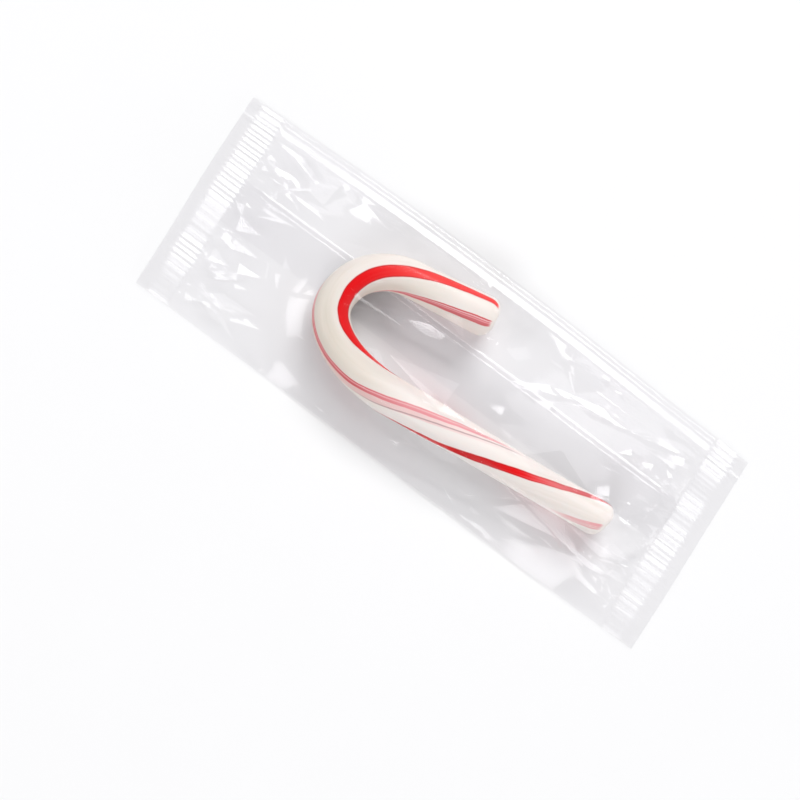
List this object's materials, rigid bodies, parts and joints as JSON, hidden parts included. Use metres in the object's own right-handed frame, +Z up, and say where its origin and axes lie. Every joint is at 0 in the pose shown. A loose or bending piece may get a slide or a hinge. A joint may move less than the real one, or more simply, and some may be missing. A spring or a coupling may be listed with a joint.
{
  "type": "candy cane in clear wrapper",
  "caption": "Small hooked peppermint stick, white with twisted red stripes, lying flat and sealed in a clear film bag with a ribbed crimp across each end.",
  "frame": {"origin": "middle of the bag's outline, on the surface that it lies on", "axes": "+X along the bag, the way the hook opens; +Y across the bag, from the leg towards the return of the hook; +Z up from the surface"},
  "size_m": [0.1086, 0.0386, 0.0084],
  "materials": {
    "pulled_sugar": "satin-gloss cream-white pulled sugar with twisted red and pink stripes",
    "clear_film": "clear glossy polypropylene film, creased, with ribbed crimp seals"
  },
  "bodies": {
    "root": {"candy_cane": "pulled_sugar", "wrapper": "clear_film"}
  },
  "joints": []
}
